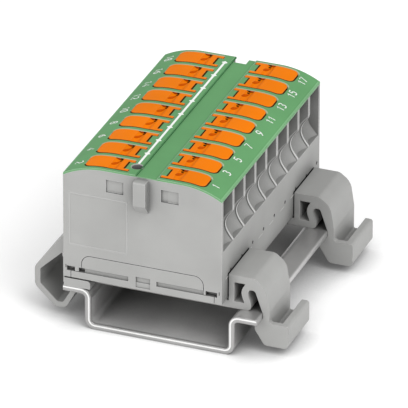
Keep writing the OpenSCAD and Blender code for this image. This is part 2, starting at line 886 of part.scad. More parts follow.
// cross-section of the foot without its latch and spring band
module foot_outline() {
    end_x = flex_x + flex_t;
    difference() {
        hook_outline();
        hook_void();
    }
    // base strip over the rail with its round free end, thicker under the block
    polygon(rounded([
        [left_wall_x - wall_t, flange_top, 0],
        [end_x, flange_top, strip_r],
        [end_x, strip_z, 0],
        [left_wall_x - wall_t, strip_z, 0]
    ]));
    translate([block_shift - side_x + side_gap, flange_top])
        square([block_w - 2 * side_gap, block_lift]);
    // wall and top slab on the latch side
    translate([right_wall_x, flange_top])
        square([wall_t, foot_top]);
    translate([right_wall_x, slab_low])
        square([flex_x + band_lean - right_wall_x, slab_t]);
}

module foot(y0) {
    color([0.68, 0.68, 0.67]) {
        along_y(y0, foot_w)
            foot_outline();
        for (s = [-1, 1])
            translate([block_shift + s * peg_x, y0 + foot_w / 2, flange_top + strip_t])
                cylinder(r = peg_r, h = block_lift - strip_t + base_t - side_gap);
    }
}

// Spring band

// x of the band's side towards the pocket, at height fraction t
function band_x(t) = flex_x + band_lean * t - band_bulge * sin(180 * pow(t, bulge_skew));

module flexure(y0) {
    n = 12;
    color([0.68, 0.68, 0.67])
    along_y(y0, foot_w)
        polygon(concat(
            [for (i = [0 : n]) [band_x(i / n), strip_z + band_rise * i / n]],
            [[flex_x + band_lean, slab_z], [latch_x, slab_z]],
            rounded([
                [latch_x, arch_z, 0],
                [latch_x - arch_half, arch_z, arch_half - eps],
                [band_x(band_free) + flex_t, arch_z - arch_half, 0]
            ]),
            [for (i = [n - 1 : -1 : 0])
                [band_x(band_free * i / n) + flex_t, strip_z + band_rise * band_free * i / n]]
        ));
}

// Latch

module latch_outline() {
    polygon(rounded([
        [latch_x, slab_z, 0],
        [latch_x + crown_top_w, slab_z, crown_top_r],
        [crown_out_x - shoulder_in, slab_z - shoulder_drop, shoulder_r],
        [crown_out_x, toe_top + leg_h, 0],
        [crown_out_x, toe_top, toe_top_r],
        [toe_x, toe_top, toe_top_r],
        [toe_x, toe_low, toe_r],
        [edge_x + toe_in, toe_low, toe_r],
        [edge_x - nose_in, grip_z - nose_fall - nose_h, 0],
        [edge_x - nose_in, grip_z - nose_fall, 0],
        [leg_in_x, grip_z, 0],
        [leg_in_x, flange_top, 0],
        [latch_x + arch_half, arch_z, arch_half - eps],
        [latch_x, arch_z, 0]
    ]));
}

module latch(y0) {
    floor_z = toe_top - driver_pocket_d;
    color([0.68, 0.68, 0.67])
    difference() {
        along_y(y0, foot_w)
            latch_outline();
        // screwdriver pocket behind a web, open to the back
        along_y(y0 + driver_web, foot_w)
            polygon(rounded([
                [crown_out_x, toe_top + 1, 0],
                [crown_out_x, floor_z, driver_floor_r],
                [crown_out_x + driver_floor_w, floor_z, driver_floor_r],
                [toe_x - lip_t, toe_top, 0],
                [toe_x - lip_t, toe_top + 1, 0]
            ]));
    }
}

// Rail

// cross-section of the bent sheet
module rail_outline() {
    ro = rail_bend_r + rail_t;
    half_c = rail_channel_w / 2;
    difference() {
        union() {
            // channel
            translate([-half_c + ro, 0])
                square([2 * half_c - 2 * ro, rail_t]);
            for (s = [-1, 1]) {
                translate([s * (half_c - ro), ro])
                    circle(ro);
                translate([s > 0 ? half_c - rail_t : -half_c, ro])
                    square([rail_t, rail_h - 2 * ro]);
            }
        }
        for (s = [-1, 1])
            translate([s * (half_c - ro), ro])
                circle(rail_bend_r);
        translate([-half_c + ro, rail_t])
            square([2 * half_c - 2 * ro, rail_h]);
        for (s = [-1, 1])
            translate([s > 0 ? half_c - ro : -half_c + rail_t, ro])
                square([ro - rail_t, rail_h]);
    }
    // flanges with their bends
    for (s = [-1, 1]) {
        bx = s * (half_c - rail_t + ro);
        difference() {
            translate([bx, rail_h - ro])
                circle(ro);
            translate([bx, rail_h - ro])
                circle(rail_bend_r);
            translate([s > 0 ? bx : bx - 2 * ro, rail_h - 2 * ro])
                square([2 * ro, 3 * ro]);
            translate([bx - 2 * ro, rail_h - 3 * ro])
                square([4 * ro, 2 * ro]);
        }
        translate([s > 0 ? bx : -edge_x, flange_under])
            square([edge_x - abs(bx), rail_t]);
    }
}

module rail_section() {
    color([0.72, 0.73, 0.74])
    along_y(front_y, block_l)
        rail_outline();
}

housing();
base_insert();
cover();
busbar();
rail_section();
foot(foot_ends[0]);  // foot_front
foot(foot_ends[1]);  // foot_rear
flexure(foot_ends[0]);  // flexure_front
flexure(foot_ends[1]);  // flexure_rear
latch(foot_ends[0]);  // latch_front
latch(foot_ends[1]);  // latch_rear
for (i = [1 : rows]) {
    button_at(i, 1);
    button_at(i, -1);
    clamp_at(i, 1);
    clamp_at(i, -1);
}
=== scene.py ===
import json
import math

import bmesh
import bpy
from mathutils import Matrix, Vector
from mathutils.bvhtree import BVHTree


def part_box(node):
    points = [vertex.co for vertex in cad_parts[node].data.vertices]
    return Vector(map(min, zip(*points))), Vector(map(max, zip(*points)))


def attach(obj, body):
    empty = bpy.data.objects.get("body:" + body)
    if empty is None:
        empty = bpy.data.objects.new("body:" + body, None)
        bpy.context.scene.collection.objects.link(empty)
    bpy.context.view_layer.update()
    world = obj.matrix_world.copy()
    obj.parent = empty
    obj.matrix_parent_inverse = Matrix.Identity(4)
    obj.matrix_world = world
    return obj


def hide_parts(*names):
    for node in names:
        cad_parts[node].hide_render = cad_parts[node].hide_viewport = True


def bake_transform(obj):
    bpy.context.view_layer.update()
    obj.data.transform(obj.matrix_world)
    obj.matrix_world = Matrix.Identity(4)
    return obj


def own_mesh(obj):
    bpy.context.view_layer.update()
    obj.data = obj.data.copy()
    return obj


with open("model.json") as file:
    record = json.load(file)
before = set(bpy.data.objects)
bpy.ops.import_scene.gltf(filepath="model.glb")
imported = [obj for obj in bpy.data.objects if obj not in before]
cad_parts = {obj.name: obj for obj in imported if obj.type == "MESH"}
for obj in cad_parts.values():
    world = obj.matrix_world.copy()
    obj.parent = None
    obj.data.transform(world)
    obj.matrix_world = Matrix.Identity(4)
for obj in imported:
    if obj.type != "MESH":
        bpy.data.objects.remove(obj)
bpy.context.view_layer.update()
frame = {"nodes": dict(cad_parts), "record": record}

MM = 0.001


def add_object(name, data):
    obj = bpy.data.objects.new(name, data)
    bpy.context.scene.collection.objects.link(obj)
    return obj


# Camera

AZIMUTH = math.radians(20.951)
ELEVATION = math.radians(27.872)
ROLL = math.radians(0.186)
DISTANCE = 1291.388 * MM
SHIFT_RIGHT = 7.566 * MM
SHIFT_UP = 23.872 * MM
FOCAL_PX = 7645.0
PHOTO_PX = 408
SENSOR_MM = 36.0
CLIP_NEAR = 0.05
CLIP_FAR = 50.0
# the camera was solved from a point at the block's front end, which lies
# 23.6 mm in front of the frame's origin and 0.69 mm below it
SOLVED_FROM = Vector((0.0, -23.6, -0.69)) * MM


def make_camera():
    look = Vector((-math.sin(AZIMUTH) * math.cos(ELEVATION),
                   math.cos(AZIMUTH) * math.cos(ELEVATION),
                   -math.sin(ELEVATION)))
    level_right = Vector((math.cos(AZIMUTH), math.sin(AZIMUTH), 0.0))
    level_up = level_right.cross(look)
    right = math.cos(ROLL) * level_right + math.sin(ROLL) * level_up
    up = -math.sin(ROLL) * level_right + math.cos(ROLL) * level_up
    place = SHIFT_RIGHT * right + SHIFT_UP * up - DISTANCE * look + SOLVED_FROM
    data = bpy.data.cameras.new("camera")
    data.sensor_width = SENSOR_MM
    data.sensor_fit = "HORIZONTAL"
    data.lens = FOCAL_PX / PHOTO_PX * SENSOR_MM
    data.clip_start = CLIP_NEAR
    data.clip_end = CLIP_FAR
    obj = add_object("camera", data)
    turn = Matrix((right, up, -look)).transposed().to_4x4()
    obj.matrix_world = Matrix.Translation(place) @ turn
    bpy.context.scene.camera = obj


make_camera()


# Shader nodes

BEVEL_SAMPLES = 6
OPENNESS_SAMPLES = 8


def add_node(nt, kind, **inputs):
    """A new shader node with these inputs set."""
    node = nt.nodes.new("ShaderNode" + kind)
    for name, value in inputs.items():
        node.inputs[name].default_value = value
    return node


def calculate(nt, operation, *sides):
    """A Math node; each side is another node's output or a plain number."""
    node = add_node(nt, "Math")
    node.operation = operation
    for socket, side in zip(node.inputs, sides):
        if isinstance(side, float):
            socket.default_value = side
        else:
            nt.links.new(side, socket)
    return node.outputs[0]


def spread(nt, value, source, target):
    """The value moved from the range source to the range target, and kept inside it."""
    node = add_node(nt, "MapRange")
    limits = zip(("From Min", "From Max", "To Min", "To Max"), (*source, *target))
    for name, limit in limits:
        node.inputs[name].default_value = limit
    nt.links.new(value, node.inputs["Value"])
    return node.outputs["Result"]


def noise(nt, coords, scale, detail):
    node = add_node(nt, "TexNoise", Scale=scale, Detail=detail)
    nt.links.new(coords, node.inputs["Vector"])
    return node.outputs["Fac"]


def bevelled_normal(nt, radius_mm):
    node = add_node(nt, "Bevel", Radius=radius_mm * MM)
    node.samples = BEVEL_SAMPLES
    return node.outputs["Normal"]


def openness(nt, reach_mm):
    """How much of the surroundings within reach is open, from 0 to 1."""
    node = add_node(nt, "AmbientOcclusion", Distance=reach_mm * MM)
    node.samples = OPENNESS_SAMPLES
    return node.outputs["AO"]


def box_mask(nt, coords, boxes):
    """1 inside any of the boxes (x0, x1, y0, y1, z0, z1) in mm, and 0 outside them."""
    split = add_node(nt, "SeparateXYZ")
    nt.links.new(coords, split.inputs["Vector"])
    total = None
    for x0, x1, y0, y1, z0, z1 in boxes:
        inside = None
        for axis, low, high in (("X", x0, x1), ("Y", y0, y1), ("Z", z0, z1)):
            near = calculate(nt, "COMPARE", split.outputs[axis],
                             (low + high) / 2 * MM, (high - low) / 2 * MM)
            inside = near if inside is None else calculate(nt, "MULTIPLY", inside, near)
        total = inside if total is None else calculate(nt, "MAXIMUM", total, inside)
    return total


# Materials

UNIT = (0.0, 1.0)
# slow drift of the colour; noise scales are per metre
DRIFT_SCALE = 90.0
DRIFT_DETAIL = 3.0
DRIFT_SPAN = (0.35, 0.65)
# an edge is paler, as wear and as a painted highlight, where the rounded normal turns this far from the
# plain one
EDGE_TURN = (0.99, 0.80)
WEAR_AND_HIGHLIGHT_PALER = 0.5
# roughness and grain
SPECK_SCALE = 420.0
SPECK_DETAIL = 4.0
ROUGH_DRIFT = 0.06
GRAIN_DETAIL = 2.0
BRUSH_SCALE = (9.0, 0.2, 9.0)


def drifting_color(nt, coords, color, vary):
    """The colour, a little darker or paler from place to place."""
    ramp = add_node(nt, "ValToRGB")
    stops = zip(ramp.color_ramp.elements, DRIFT_SPAN, (1.0 - vary, 1.0 + vary))
    for stop, position, factor in stops:
        stop.position = position
        stop.color = (*[min(1.0, c * factor) for c in color], 1.0)
    nt.links.new(noise(nt, coords, DRIFT_SCALE, DRIFT_DETAIL), ramp.inputs["Fac"])
    return ramp.outputs["Color"]


def edges(nt, coords, edge, edge_mm, round_mm, seamless):
    """How much paler the surface is near an edge, as wear and as a painted highlight, and the normal
    that rounds edges to the light.
    """
    plain = add_node(nt, "NewGeometry").outputs["Normal"]
    turn = add_node(nt, "VectorMath")
    turn.operation = "DOT_PRODUCT"
    nt.links.new(bevelled_normal(nt, edge_mm), turn.inputs[0])
    nt.links.new(plain, turn.inputs[1])
    wear_and_highlight = spread(nt, turn.outputs["Value"], EDGE_TURN, (0.0, edge))
    normal = bevelled_normal(nt, round_mm)
    if seamless:
        keep = calculate(nt, "SUBTRACT", 1.0, box_mask(nt, coords, seamless))
        wear_and_highlight = calculate(nt, "MULTIPLY", wear_and_highlight, keep)
        choose = add_node(nt, "Mix")
        choose.data_type = "VECTOR"
        for source, socket in ((keep, "Factor"), (plain, "A"), (normal, "B")):
            nt.links.new(source, choose.inputs[socket])
        normal = choose.outputs["Result"]
    return wear_and_highlight, normal


def material(name, color, rough=0.5, metal=0.0, vary=0.05, grain_mm=0.012, grain_size_mm=0.14,
             edge=0.25, edge_mm=0.2, round_mm=0.12, ior=1.3, brushed=False, seamless=(),
             hollow_shade=0.45, hollow_shade_mm=3.0, hollow_shade_span=UNIT,
             matt=(), matt_shade_tone=1.0, unshaded=(), tint=(1.0, 1.0, 1.0)):
    """Moulded plastic or sheet metal: colour drift, fine grain, edges paler from wear and a painted
    highlight, and painted shade in hollows.

    The grain is grain_mm high and grain_size_mm wide. Three parameters are lists of boxes:
    no edge shows in a seamless one, a matt one has no metal in it and its colour times
    matt_shade_tone as painted shade, and an unshaded one gets no painted shade in its hollows.
    """
    mat = bpy.data.materials.new(name)
    mat.use_nodes = True
    nt = mat.node_tree
    link = nt.links.new
    nt.nodes.clear()
    bsdf = add_node(nt, "BsdfPrincipled", Metallic=metal, IOR=ior)
    bsdf.inputs["Specular Tint"].default_value = (*tint, 1.0)
    link(bsdf.outputs["BSDF"], add_node(nt, "OutputMaterial").inputs["Surface"])
    coords = add_node(nt, "TexCoord").outputs["Object"]
    fine_coords = coords
    if brushed:
        stretch = add_node(nt, "Mapping", Scale=BRUSH_SCALE)
        link(coords, stretch.inputs["Vector"])
        fine_coords = stretch.outputs["Vector"]

    # colour, paler near an edge, as wear and as a painted highlight
    wear_and_highlight, normal = edges(nt, coords, edge, edge_mm, round_mm, seamless)
    mix = add_node(nt, "MixRGB", Color2=(*[c + (1.0 - c) * WEAR_AND_HIGHLIGHT_PALER for c in color], 1.0))
    link(wear_and_highlight, mix.inputs["Fac"])
    link(drifting_color(nt, coords, color, vary), mix.inputs["Color1"])

    # tone: painted shade, darker in hollows and in the matt boxes
    tone = spread(nt, openness(nt, hollow_shade_mm), hollow_shade_span, (1.0 - hollow_shade, 1.0))
    # the unshaded boxes are left without this painted shade
    if unshaded:
        tone = calculate(nt, "MAXIMUM", tone, box_mask(nt, coords, unshaded))
    # painted shade: the matt boxes are darker, and have no metal
    if matt:
        inside = box_mask(nt, coords, matt)
        tone = calculate(nt, "MULTIPLY", tone, spread(nt, inside, UNIT, (1.0, matt_shade_tone)))
        link(spread(nt, inside, UNIT, (metal, 0.0)), bsdf.inputs["Metallic"])
    dim = add_node(nt, "VectorMath")
    dim.operation = "SCALE"
    link(mix.outputs["Color"], dim.inputs[0])
    link(tone, dim.inputs["Scale"])
    link(dim.outputs["Vector"], bsdf.inputs["Base Color"])

    # roughness and fine grain
    specks = noise(nt, fine_coords, SPECK_SCALE, SPECK_DETAIL)
    link(spread(nt, specks, UNIT, (rough - ROUGH_DRIFT, rough + ROUGH_DRIFT)), bsdf.inputs["Roughness"])
    bump = add_node(nt, "Bump", Strength=1.0, Distance=grain_mm * MM)
    link(noise(nt, fine_coords, 1.0 / (grain_size_mm * MM), GRAIN_DETAIL), bump.inputs["Height"])
    link(normal, bump.inputs["Normal"])
    link(bump.outputs["Normal"], bsdf.inputs["Normal"])
    return mat


# Boxes in which a material differs; all lengths in this section are in mm

RAIL = [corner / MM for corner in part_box("rail_section")]
HALF_L = RAIL[1].y
RAIL_HALF = RAIL[1].x
RAIL_H = RAIL[1].z
LATCH_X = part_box("latch_front")[0][0] / MM
FOOT_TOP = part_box("latch_front")[1][2] / MM
BAND_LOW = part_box("flexure_front")[0][2] / MM

# foot, spring band and latch are one moulding: no edge shows where they meet
SLAB_END = 14.42
SLAB_DEPTH = 1.6
CROWN_DEPTH = 2.6
BAND_REACH = 0.6
BAND_HALF = 0.2
SEAM_HALF = 0.25
SEAM_SLACK = 0.1
SEAMS = [(x - SEAM_HALF, x + SEAM_HALF, -HALF_L, HALF_L, FOOT_TOP - depth, FOOT_TOP + SEAM_SLACK)
         for x, depth in ((LATCH_X, CROWN_DEPTH), (SLAB_END, SLAB_DEPTH))]
SEAMS.append((SLAB_END - BAND_REACH, LATCH_X + SEAM_SLACK / 2, -HALF_L, HALF_L,
              BAND_LOW - BAND_HALF, BAND_LOW + BAND_HALF))

# the inside of the rail's channel and the rail's sawn ends are matt and darker: painted shade in the
# channel, and the ends darkened the same way
CHANNEL_HALF = 12.6
CHANNEL_INSET = 0.6
CHANNEL_LOW = 0.5
CHANNEL_HIGH = 5.6
SAWN_SLACK = 0.1
SAWN_HALF = 0.05
CHANNEL_SHADE = [(-CHANNEL_HALF, CHANNEL_HALF, CHANNEL_INSET - HALF_L, HALF_L - CHANNEL_INSET,
            CHANNEL_LOW, CHANNEL_HIGH)]
SAWN_ENDS = [(-RAIL_HALF - SAWN_SLACK, RAIL_HALF + SAWN_SLACK, y - SAWN_HALF, y + SAWN_HALF,
              -SAWN_SLACK, RAIL_H + SAWN_SLACK) for y in (-HALF_L, HALF_L)]

# the floors of the two shallow windows in the front wall stay pale: no painted shade of hollows there
WINDOW_LEFTS = (-9.75, 1.45)
WINDOW_W = 2.9
WINDOW_NEAR = 0.3
WINDOW_FAR = 0.6
WINDOW_LOW = 26.2
WINDOW_HIGH = 29.3
WINDOWS = [(x, x + WINDOW_W, WINDOW_NEAR - HALF_L, WINDOW_FAR - HALF_L, WINDOW_LOW, WINDOW_HIGH)
           for x in WINDOW_LEFTS]

# Materials of the solids: painted shade in their hollows, and edges paler from wear and a painted
# highlight

GREY_COLOR = (0.345, 0.345, 0.337)
GREY = material("grey_plastic", GREY_COLOR, rough=0.5, edge=0.5, hollow_shade=0.65, hollow_shade_mm=5.0,
                hollow_shade_span=(0.3, 0.95), unshaded=WINDOWS)
MOULDING = material("grey_moulding", GREY_COLOR, rough=0.45, round_mm=0.2, edge=0.15,
                    seamless=SEAMS, hollow_shade=0.3, hollow_shade_mm=2.0)
GREEN = material("green_plastic", (0.118, 0.312, 0.127), rough=0.5, ior=1.25, hollow_shade=0.3,
                 edge=0.5, edge_mm=0.3, round_mm=0.2)
ORANGE = material("orange_plastic", (0.80, 0.188, 0.0), rough=0.42, round_mm=0.15, ior=1.15,
                  hollow_shade=0.3, edge=0.1, tint=(1.0, 0.5, 0.05))
# the rail gets strong painted shade in its hollows, most of all inside its channel
STEEL = material("rail_steel", (0.56, 0.555, 0.55), rough=0.36, metal=0.75, vary=0.08,
                 grain_mm=0.003, brushed=True, edge=0.1, edge_mm=0.5, round_mm=0.5,
                 hollow_shade=0.85, hollow_shade_mm=12.0, hollow_shade_span=(0.02, 0.42),
                 matt=CHANNEL_SHADE + SAWN_ENDS, matt_shade_tone=0.62)
SPRING = material("spring_steel", (0.5, 0.5, 0.5), rough=0.3, metal=1.0, brushed=True)
COPPER = material("copper_bar", (0.72, 0.40, 0.26), rough=0.35, metal=1.0)

# Materials of print, and of painted highlights and painted shades

# painted highlight over the label field's groove
LABEL_HIGHLIGHT = material("grey_label_highlight", (0.39, 0.39, 0.382), rough=0.5, edge=0.0, hollow_shade=0.0)
# painted highlight on the funnel crests; the wall dashes share its pale grey
CREST_HIGHLIGHT_GREY = material("grey_crest_highlight", (0.53, 0.53, 0.52), rough=0.5, edge=0.0, hollow_shade=0.0)
PRINT = material("white_print", (0.86, 0.89, 0.86), rough=0.6, vary=0.02, grain_mm=0.004,
                 edge=0.0, hollow_shade=0.0)
# painted highlight on the rear edges of the cap openings
OPENING_HIGHLIGHT = material("opening_highlight", (0.37, 0.42, 0.27), rough=0.6, grain_mm=0.004, edge=0.0,
                     hollow_shade=0.0)
SHADE = material("gap_shade", (0.04, 0.018, 0.003), rough=0.8, grain_mm=0.004, edge=0.0, ior=1.1)
SLIT_SHADE = material("slit_shade", (0.015, 0.015, 0.015), rough=0.8, grain_mm=0.004, edge=0.0,
                      ior=1.1)
# painted highlight on the rail's front end
RIM_HIGHLIGHT = material("rim_highlight", (0.8, 0.8, 0.79), rough=0.35, vary=0.03, grain_mm=0.003,
                      edge=0.0, hollow_shade=0.0)
# painted shade in the caps' grooves
CRESCENT_SHADE = material("dark_orange_shade", (0.56, 0.085, 0.0), rough=0.6, grain_mm=0.004, edge=0.0,
                    ior=1.1)
# painted highlight on the cover's edges
EDGE_HIGHLIGHT_GREEN = material("edge_highlight_green", (0.19, 0.42, 0.2), rough=0.5, grain_mm=0.004, edge=0.0,
                      hollow_shade=0.0)
# painted shade on the step of the cover's groove
STEP_SHADE_GREEN = material("step_shade_green", (0.055, 0.2, 0.07), rough=0.6, grain_mm=0.004, edge=0.0,
                      ior=1.1)

# by the first word of a node's name; every other node is grey
NODE_MATERIALS = {
    "cover": GREEN, "busbar": COPPER, "rail": STEEL,
    "foot": MOULDING, "flexure": MOULDING, "latch": MOULDING,
    "button": ORANGE, "clamp": SPRING,
}


def dress_nodes():
    for name, obj in frame["nodes"].items():
        obj.data.materials.clear()
        obj.data.materials.append(NODE_MATERIALS.get(name.split("_")[0], GREY))


dress_nodes()


# Heights and places on the block

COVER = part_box("cover")
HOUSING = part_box("housing")
MIDDLE_X = (COVER[0][0] + COVER[1][0]) / 2
ROWS = sum(name.startswith("button_right") for name in frame["nodes"])
ROW_IDS = range(1, ROWS + 1)
SIDES = {"right": 1, "left": -1}
LIFT = 0.02 * MM
RAY_UP = 1.0 * MM
DOWN = Vector((0.0, 0.0, -1.0))


def row_y(i):
    low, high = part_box("button_right_%d" % i)
    return (low[1] + high[1]) / 2


def copy_node(node):
    """A mesh with the same shape as a CAD object."""
    bm = bmesh.new()
    bm.from_mesh(frame["nodes"][node].data)
    return bm


def node_tree(node):
    """A search tree of a CAD object's faces, for rays."""
    bm = copy_node(node)
    tree = BVHTree.FromBMesh(bm)
    bm.free()
    return tree


def surface(node, ceiling=math.inf):
    """A function that gives the height of a CAD object's upper surface at (x, y)."""
    tree = node_tree(node)
    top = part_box(node)[1][2] + RAY_UP

    def height(x, y):
        spot = tree.ray_cast(Vector((x, y, top)), DOWN)[0]
        return None if spot is None else min(spot.z, ceiling)
    return height


cover_surface = surface("cover")
BETWEEN_Y = (row_y(1) + row_y(2)) / 2


def crown(x, y=BETWEEN_Y):
    """The cover's height at x, without its openings.

    It's the same at every y, so it is always taken between two openings. The y is there only
    because a ribbon or a patch asks for the height at (x, y).
    """
    return cover_surface(x, BETWEEN_Y)


def on_side(points, side, y):
    """Points (outwards from the block's middle, along the rows from y) as places (x, y)."""
    return [(MIDDLE_X + side * out, y + along) for out, along in points]


# Meshes

QUARTER_STEPS = 6
STROKE_STEP = 0.4 * MM


def arc(cx, cy, rx, ry, start, end, steps=QUARTER_STEPS):
    """Points of an elliptic arc, from angle start to end in degrees."""
    turns = [math.radians(start + (end - start) * k / steps) for k in range(steps + 1)]
    return [(cx + rx * math.cos(t), cy + ry * math.sin(t)) for t in turns]


def straight(one, two, step=STROKE_STEP):
    """Points along a line, with both of its ends."""
    count = max(1, round((Vector(two) - Vector(one)).length / step))
    return [tuple(Vector(one).lerp(Vector(two), k / count)) for k in range(count + 1)]


def diamond(x, y, half_x, half_y):
    return [(x - half_x, y), (x, y - half_y), (x + half_x, y), (x, y + half_y)]


def join_rings(bm, rings, closed=False):
    """Skins rings of vertices, one after the other, back to the first or with two end faces."""
    followers = rings[1:] + rings[:1] if closed else rings[1:]
    for one, two in zip(rings, followers):
        for k in range(len(one)):
            n = (k + 1) % len(one)
            bm.faces.new((one[k], one[n], two[n], two[k]))
    if not closed:
        bm.faces.new(rings[0][::-1])
        bm.faces.new(rings[-1])


def add_ribbon(bm, points, width, height=crown, lift=LIFT, strips=2):
    """A thin flat stroke through points (x, y); width is a number, or one for every point."""
    closed = points[0] == points[-1]
    last = len(points) - 1
    widths = width if isinstance(width, list) else [width] * len(points)
    rings = []
    for k, p in enumerate(points):
        before = points[max(k - 1, 0)]
        after = points[min(k + 1, last)]
        if closed and k in (0, last):
            before, after = points[-2], points[1]
        run = Vector(after) - Vector(before)
        across = Vector((-run.y, run.x)).normalized() * widths[k] / 2
        left, right = Vector(p) + across, Vector(p) - across
        row = [(left.lerp(right, j / strips), lift) for j in range(strips + 1)]
        ring = []
        for point, up in row + [(right, -LIFT), (left, -LIFT)]:
            z = height(*point)
            z = height(*p) if z is None else z
            ring.append(bm.verts.new((point.x, point.y, z + up)))
        rings.append(ring)
    join_rings(bm, rings)


def add_patch(bm, points, height=crown, lift=LIFT):
    """A thin flat patch with that outline (x, y), around its own middle."""
    mx = sum(p[0] for p in points) / len(points)
    my = sum(p[1] for p in points) / len(points)
    top = [bm.verts.new((x, y, height(x, y) + lift)) for x, y in points]
    low = [bm.verts.new((x, y, height(x, y) - LIFT)) for x, y in points]
    top_mid = bm.verts.new((mx, my, height(mx, my) + lift))
    low_mid = bm.verts.new((mx, my, height(mx, my) - LIFT))
    for k in range(len(points)):
        n = (k + 1) % len(points)
        bm.faces.new((top[k], top[n], top_mid))
        bm.faces.new((low[n], low[k], low_mid))
        bm.faces.new((low[k], low[n], top[n], top[k]))


def add_bevelled_box(bm, low, high, bevel):
    """A block from corner low to corner high with its edges bevelled."""
    size = Vector(high) - Vector(low)
    spot = Matrix.Translation((Vector(low) + Vector(high)) / 2) @ Matrix.Diagonal((*size, 1.0))
    made = bmesh.ops.create_cube(bm, size=1.0, matrix=spot)
    rims = {e for v in made["verts"] for e in v.link_edges}
    bmesh.ops.bevel(bm, geom=list(rims), offset=bevel, segments=3, profile=0.5, affect="EDGES")


def finish_piece(name, bm, mat, body):
    """Turns the mesh into an object, which rides on the body if there is one."""
    bmesh.ops.recalc_face_normals(bm, faces=bm.faces)
    mesh = bpy.data.meshes.new(name)
    bm.to_mesh(mesh)
    bm.free()
    mesh.materials.append(mat)
    obj = add_object(name, mesh)
    if body:
        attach(obj, body)
    return obj


# Numbers of the positions

# strokes of the ten digits in a box 0.6 wide and 1 high
DIGIT_W = 0.6
DIGITS = {
    "0": [arc(0.3, 0.5, 0.3, 0.5, 90, 450, 18)],
    "1": [[(0.1, 0.75), (0.35, 1.0), (0.35, 0.0)]],
    "2": [arc(0.3, 0.7, 0.29, 0.3, 160, -35, 10) + [(0.02, 0.0), (0.6, 0.0)]],
    "3": [arc(0.28, 0.75, 0.27, 0.25, 140, -90, 10) + arc(0.28, 0.26, 0.31, 0.26, 90, -140, 10)],
    "4": [[(0.45, 0.0), (0.45, 1.0), (0.0, 0.3), (0.62, 0.3)]],
    "5": [[(0.55, 1.0), (0.1, 1.0), (0.06, 0.52)] + arc(0.27, 0.32, 0.3, 0.31, 130, -145, 10)],
    "6": [[(0.5, 1.0)] + arc(0.55, 0.35, 0.52, 0.5, 130, 180, 5)
          + arc(0.31, 0.29, 0.28, 0.29, 180, 540, 16)],
    "7": [[(0.0, 1.0), (0.6, 1.0), (0.2, 0.0)]],
    "8": [arc(0.3, 0.76, 0.23, 0.24, -90, 270, 14), arc(0.3, 0.27, 0.29, 0.27, 90, 450, 16)],
    "9": [arc(0.29, 0.71, 0.28, 0.29, 0, 360, 16) + arc(0.05, 0.65, 0.52, 0.5, 0, -50, 5)
          + [(0.1, 0.0)]],
}
DIGIT_H = 1.3 * MM
DIGIT_STROKE = 0.19 * MM
DIGIT_STEP = 0.85
NUMBER_RIGHT = 12.1 * MM
NUMBER_LEFT = -12.4 * MM


def add_number(bm, number, x, y, side):
    """A number with its top to the block's middle; side is 1 on the right and -1 on the left."""
    text = str(number)
    wide = (len(text) - 1) * DIGIT_STEP + DIGIT_W
    for k, digit in enumerate(text):
        for stroke in DIGITS[digit]:
            spots = []
            for u, v in stroke:
                along = (u + k * DIGIT_STEP - wide / 2) * DIGIT_H
                up = (v - 0.5) * DIGIT_H
                spots.append((x - side * up, y + side * along))
            add_ribbon(bm, spots, DIGIT_STROKE)


def make_numbers():
    """Odd numbers on the right and even numbers on the left, from the front to the rear."""
    bm = bmesh.new()
    for i in ROW_IDS:
        add_number(bm, 2 * i - 1, MIDDLE_X + NUMBER_RIGHT, row_y(i), 1)
        add_number(bm, 2 * i, MIDDLE_X + NUMBER_LEFT, row_y(i), -1)
    finish_piece("position_numbers", bm, PRINT, "block")


# Middle of the cover: white line, painted shade on the step of the shallow groove, round hole

LINE_X = MIDDLE_X - 2.2 * MM
LINE_W = 0.42 * MM
DIAMOND_X = 0.55 * MM
DIAMOND_Y = 0.5 * MM
STEP_X = MIDDLE_X - 1.12 * MM
STEP_W = 0.2 * MM
HOLE_X = MIDDLE_X - 2.05 * MM
HOLE_Y = COVER[0][1] + 3.0 * MM
HOLE_R = 1.05 * MM
HOLE_STEPS = 40
SLEEVE_T = 0.12 * MM
SLEEVE_DEPTH = 1.8 * MM


def make_mark_line():
    """The white line from the round hole to the last row, with a small diamond at each row but the
    first.
    """
    bm = bmesh.new()
    add_ribbon(bm, [(LINE_X, HOLE_Y + HOLE_R), (LINE_X, row_y(ROWS))], LINE_W)
    for i in ROW_IDS[1:]:
        add_patch(bm, diamond(LINE_X, row_y(i), DIAMOND_X, DIAMOND_Y), lift=2 * LIFT)
    finish_piece("mark_line", bm, PRINT, "block")


def make_groove_step():
    """Painted shade on the step along the shallow groove in the cover's middle."""
    bm = bmesh.new()
    add_ribbon(bm, [(STEP_X, COVER[0][1]), (STEP_X, COVER[1][1])], STEP_W)
    finish_piece("groove_step_shade", bm, STEP_SHADE_GREEN, "block")


def make_hole_sleeve():
    """The thin grey lining of the cover's round hole, with a chamfered mouth."""
    bm = bmesh.new()
    top = crown(HOLE_X)
    inner = HOLE_R - SLEEVE_T
    profile = [(HOLE_R, top - SLEEVE_DEPTH), (HOLE_R, top - LIFT),
               (inner, top - SLEEVE_T), (inner, top - SLEEVE_DEPTH)]
    rings = []
    for k in range(HOLE_STEPS):
        t = 2 * math.pi * k / HOLE_STEPS
        rings.append([bm.verts.new((HOLE_X + r * math.cos(t), HOLE_Y + r * math.sin(t), z))
                      for r, z in profile])
    join_rings(bm, rings, closed=True)
    finish_piece("hole_sleeve", bm, GREY, "block")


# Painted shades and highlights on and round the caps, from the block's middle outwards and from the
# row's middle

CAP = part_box("button_right_1")
CAP_HALF = (CAP[1][1] - CAP[0][1]) / 2
CAP_OUT = CAP[1][0] - MIDDLE_X - 0.03 * MM
CAP_R = 1.0 * MM
TAIL_IN = CAP[0][0] - MIDDLE_X
TAIL_L = 1.02 * MM
TAIL_W = 0.7 * MM
CAP_IN = TAIL_IN + TAIL_L
GAP = 0.12 * MM
NOTCH_X = 5.5 * MM
